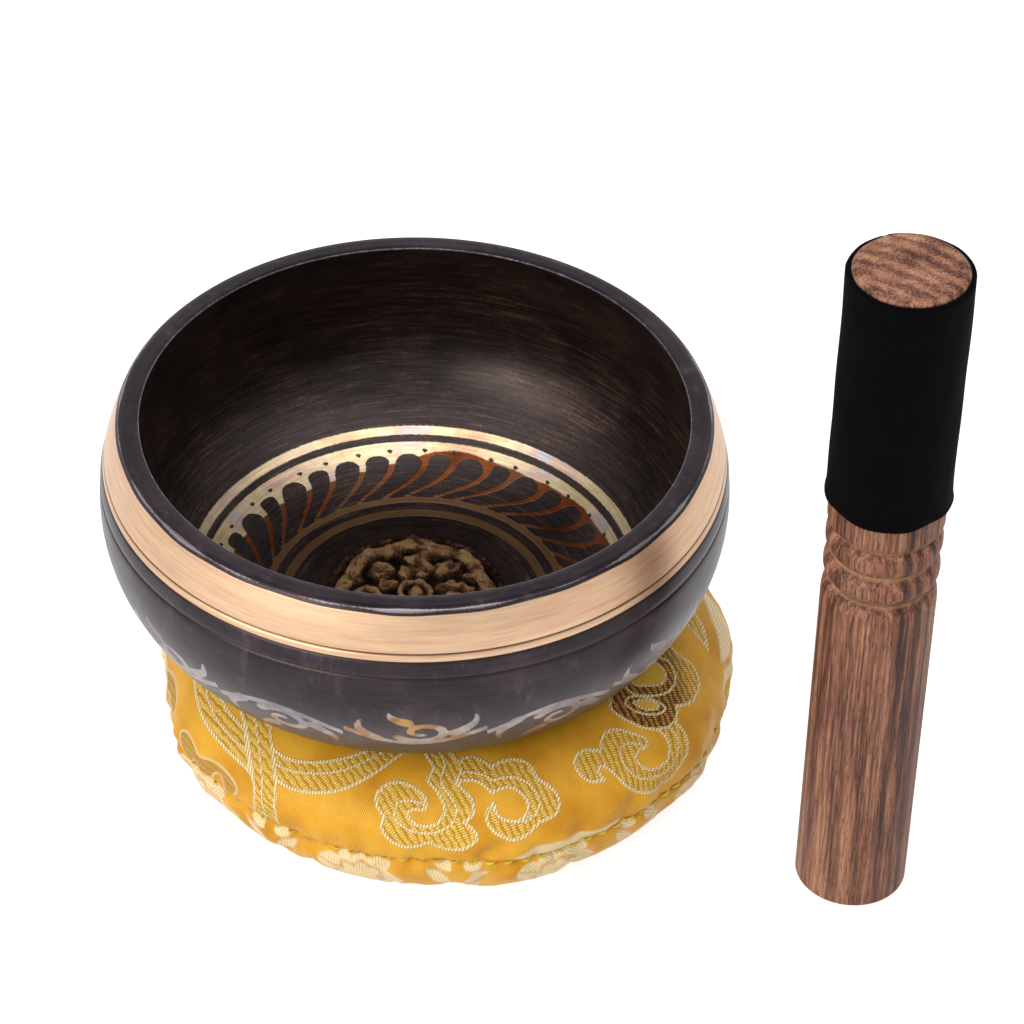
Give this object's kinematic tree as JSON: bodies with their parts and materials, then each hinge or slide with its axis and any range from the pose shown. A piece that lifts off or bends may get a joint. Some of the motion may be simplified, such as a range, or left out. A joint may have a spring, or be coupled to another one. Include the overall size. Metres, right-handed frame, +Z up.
{
  "type": "singing bowl set",
  "caption": "Cast bronze singing bowl with a turned rim band, resting on a stuffed brocade ring cushion, with a turned wooden mallet wrapped in suede.",
  "frame": {"origin": "middle of the cushion's foot, on the table", "axes": "+Z up out of the table; +X from the cushion towards the side where the mallet stands; +Y away from the player"},
  "size_m": [0.1552, 0.12, 0.145],
  "materials": {
    "patinated_bronze": "black patina with a bare turned band and gilt etched rings",
    "silk_brocade": "satin with woven cloud scrolls",
    "cotton_wadding": "loose fibre",
    "sewing_thread": "twisted polyester",
    "rosewood": "oiled, semi-gloss",
    "black_suede": "napped"
  },
  "bodies": {
    "cushion": {"cushion_top_panel": "silk_brocade", "cushion_bottom_panel": "silk_brocade", "cushion_wadding": "cotton_wadding", "cushion_outer_seam": "sewing_thread", "cushion_inner_seam": "sewing_thread"},
    "bowl": {"bowl": "patinated_bronze"},
    "mallet": {"mallet_stick": "rosewood", "mallet_suede_wrap": "black_suede"}
  },
  "joints": [
    {"name": "bowl_lift", "type": "slide", "parent": "cushion", "child": "bowl", "axis": [0, 0, 1], "range_m": [0, 0.04]},
    {"name": "mallet_lift", "type": "slide", "parent": "cushion", "child": "mallet", "axis": [0, 0, 1], "range_m": [0, 0.09]}
  ]
}
